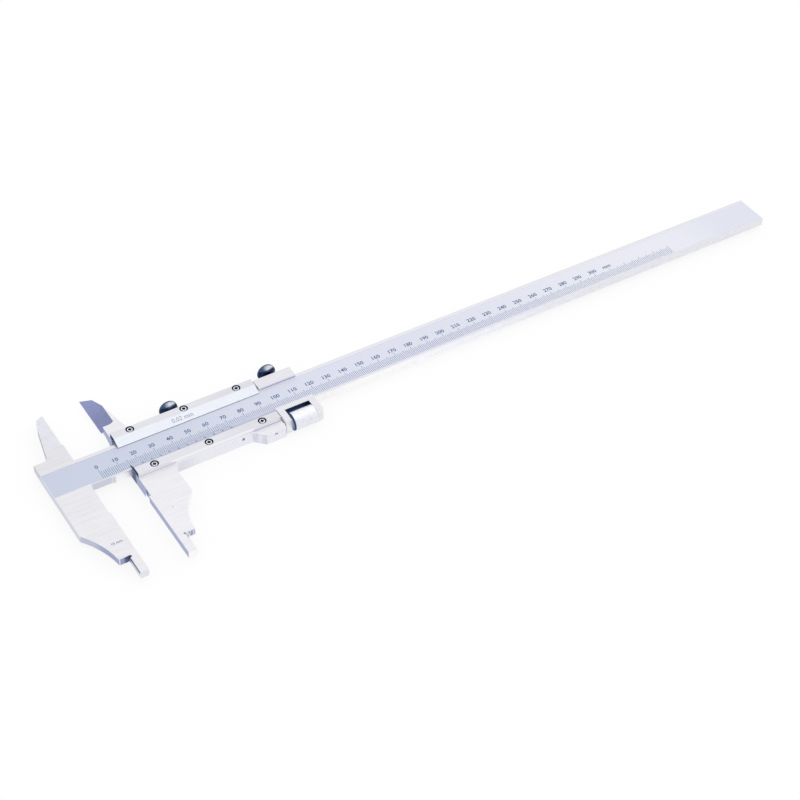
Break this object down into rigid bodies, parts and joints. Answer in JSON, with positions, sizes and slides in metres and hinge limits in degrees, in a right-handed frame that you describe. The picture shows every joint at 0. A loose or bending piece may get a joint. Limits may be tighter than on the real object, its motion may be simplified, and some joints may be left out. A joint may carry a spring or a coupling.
{
  "type": "vernier caliper",
  "caption": "Long-range vernier caliper with a graduated beam, flat nib jaws, knife-edge jaws, a vernier slider, lock screws and a fine-adjustment carriage with a knurled nut.",
  "frame": {"origin": "on the beam's back face, on its centre line, level with the fixed measuring face", "axes": "+X along the beam from the fixed measuring face to the tail, +Y across the beam towards the knife-edge jaws, +Z out of the graduated face"},
  "size_m": [0.4398, 0.1247, 0.0099],
  "materials": {
    "beam": "satin chromed scale band between ground rails, brushed jaws",
    "slider": "brushed along the beam",
    "front_plates": "satin",
    "carriage": "ground",
    "adjusting_nut": "knurled",
    "lock_screws": "knurled rim, turned face",
    "small_screws": "turned",
    "rod": "turned",
    "hidden_brass": "plain"
  },
  "bodies": {
    "beam": {"beam": "beam", "end_stop_screw": "small_screws"},
    "slider": {"slider_body": "slider", "upper_plate": "front_plates", "vernier_plate": "front_plates", "upper_plate_screw_1": "small_screws", "upper_plate_screw_2": "small_screws", "upper_plate_screw_3": "small_screws", "vernier_plate_screw_1": "small_screws", "vernier_plate_screw_2": "small_screws", "vernier_plate_screw_3": "small_screws", "slider_gib": "hidden_brass", "gib_set_screw_1": "small_screws", "gib_set_screw_2": "small_screws", "side_set_screw": "small_screws", "adjusting_rod": "rod", "rod_pin": "rod"},
    "carriage": {"carriage_body": "carriage", "carriage_gib": "hidden_brass"},
    "adjusting_nut": {"adjusting_nut": "adjusting_nut"},
    "slider_lock_pad": {"slider_lock_pad": "hidden_brass"},
    "slider_lock_screw": {"slider_lock_screw": "lock_screws"},
    "carriage_lock_pad": {"carriage_lock_pad": "hidden_brass"},
    "carriage_lock_screw": {"carriage_lock_screw": "lock_screws"}
  },
  "joints": [
    {"name": "slider_slide", "type": "slide", "parent": "beam", "child": "slider", "axis": [1, 0, 0], "range_m": [-0.02056, 0.27943]},
    {"name": "fine_adjust", "type": "slide", "parent": "slider", "child": "carriage", "axis": [1, 0, 0], "range_m": [-0.0008, 0.006]},
    {"name": "nut_turn", "type": "hinge", "parent": "carriage", "child": "adjusting_nut", "pos_m": [0.1128, -0.0184, 0.00225], "axis": [1, 0, 0], "range_deg": [-577, 4321]},
    {"name": "slider_lock_feed", "type": "slide", "parent": "slider", "child": "slider_lock_pad", "axis": [0, -1, 0], "range_m": [-0.00075, 0.00105]},
    {"name": "slider_lock_turn", "type": "hinge", "parent": "slider_lock_pad", "child": "slider_lock_screw", "pos_m": [0.05667, 0.02, 0.00235], "axis": [0, -1, 0], "range_deg": [-541, 757]},
    {"name": "carriage_lock_feed", "type": "slide", "parent": "carriage", "child": "carriage_lock_pad", "axis": [0, -1, 0], "range_m": [-0.001, 0.00025]},
    {"name": "carriage_lock_turn", "type": "hinge", "parent": "carriage_lock_pad", "child": "carriage_lock_screw", "pos_m": [0.11287, 0.02, 0.00235], "axis": [0, -1, 0], "range_deg": [-721, 181]}
  ],
  "couplings": [
    {"joint": "nut_turn", "follows": "fine_adjust", "rad_per_m": 12566},
    {"joint": "slider_lock_turn", "follows": "slider_lock_feed", "rad_per_m": 12566},
    {"joint": "carriage_lock_turn", "follows": "carriage_lock_feed", "rad_per_m": 12566}
  ]
}
